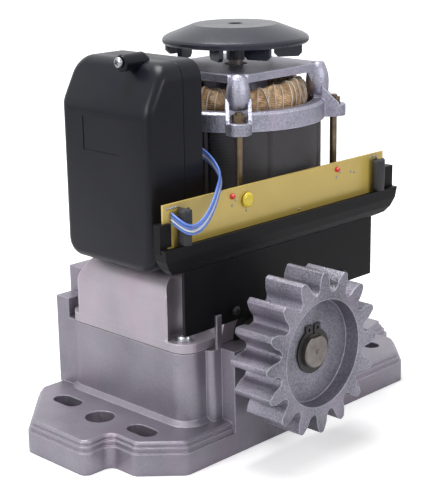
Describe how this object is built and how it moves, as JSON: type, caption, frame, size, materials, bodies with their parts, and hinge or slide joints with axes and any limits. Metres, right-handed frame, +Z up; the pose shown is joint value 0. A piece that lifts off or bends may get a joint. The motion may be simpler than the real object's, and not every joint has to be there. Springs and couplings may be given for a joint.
{
  "type": "sliding gate motor",
  "caption": "Open-frame sliding gate motor: worm gearbox on a cast foot, top fan, rack pinion, control box and limit-switch board.",
  "frame": {"origin": "on the floor at the centre of the foot casting", "axes": "+X along the foot towards its two-slot end, +Z up, the rack pinion on the -Y side"},
  "size_m": [0.316, 0.202, 0.272],
  "materials": {
    "cast_aluminium": "as cast, fine satin",
    "cast_steel_gear": "granular cast, matt",
    "bronze": "machined",
    "ground_steel": "machined, dull",
    "bearing_steel": "ground",
    "zinc_steel": "bright zinc plated",
    "brown_steel": "brown passivated",
    "black_spring": "blackened",
    "gasket_paper": "matt",
    "black_rubber": "matt",
    "stack_steel": "laminated, satin",
    "copper_winding": "varnished",
    "box_plastic": "fine moulded sheen",
    "holder_plastic": "satin",
    "fan_plastic": "satin",
    "board_laminate": "lacquered",
    "terminal_green": "satin",
    "relay_case": "gloss",
    "capacitor_case": "satin",
    "nylon": "satin",
    "red_lamp": "clear red",
    "yellow_disc": "dipped gloss",
    "wire_blue": "gloss",
    "wire_white": "gloss"
  },
  "bodies": {
    "housing": {"gearbox_base": "cast_aluminium", "gearbox_gasket": "gasket_paper", "gearbox_cover": "cast_aluminium", "cover_screws": "zinc_steel", "shaft_seal": "black_rubber", "shaft_bearing_outer_rings": "bearing_steel", "motor_bearing_outer_rings": "bearing_steel", "stator_core": "stack_steel", "winding_upper": "copper_winding", "winding_lower": "copper_winding", "end_bell": "cast_aluminium", "tie_rods": "brown_steel", "tie_rod_nuts": "brown_steel", "control_box_cover": "box_plastic", "control_box_back": "box_plastic", "box_screw": "zinc_steel", "control_board": "board_laminate", "board_spacers": "nylon", "terminal_block": "terminal_green", "relays": "relay_case", "run_capacitor": "capacitor_case", "limit_board_holder": "holder_plastic", "limit_board": "board_laminate", "holder_screws": "black_spring", "reed_sleeves": "holder_plastic", "board_lamps": "red_lamp", "board_disc": "yellow_disc", "board_wire_1": "wire_blue", "board_wire_2": "wire_white", "board_wire_3": "wire_blue", "board_wire_4": "wire_white"},
    "output": {"output_shaft": "ground_steel", "drive_pinion": "cast_steel_gear", "shaft_key": "ground_steel", "circlip": "black_spring", "worm_wheel": "bronze", "shaft_bearing_inner_rings": "bearing_steel"},
    "rotor": {"worm_shaft": "ground_steel", "rotor_core": "stack_steel", "motor_bearing_inner_rings": "bearing_steel", "fan": "fan_plastic"},
    "release": {"release_spindle": "ground_steel", "release_lever": "cast_aluminium"}
  },
  "joints": [
    {"name": "output_spin", "type": "hinge", "parent": "housing", "child": "output", "pos_m": [-0.032, 0, 0.0715], "axis": [0, 1, 0], "continuous": true},
    {"name": "motor_spin", "type": "hinge", "parent": "housing", "child": "rotor", "pos_m": [0.018, 0.004, 0.15], "axis": [0, 0, 1], "continuous": true},
    {"name": "release_turn", "type": "hinge", "parent": "housing", "child": "release", "pos_m": [-0.054, 0.078, 0.048], "axis": [0, -1, 0], "range_deg": [0, 90]}
  ],
  "couplings": [
    {"joint": "motor_spin", "follows": "output_spin", "ratio": 32}
  ]
}
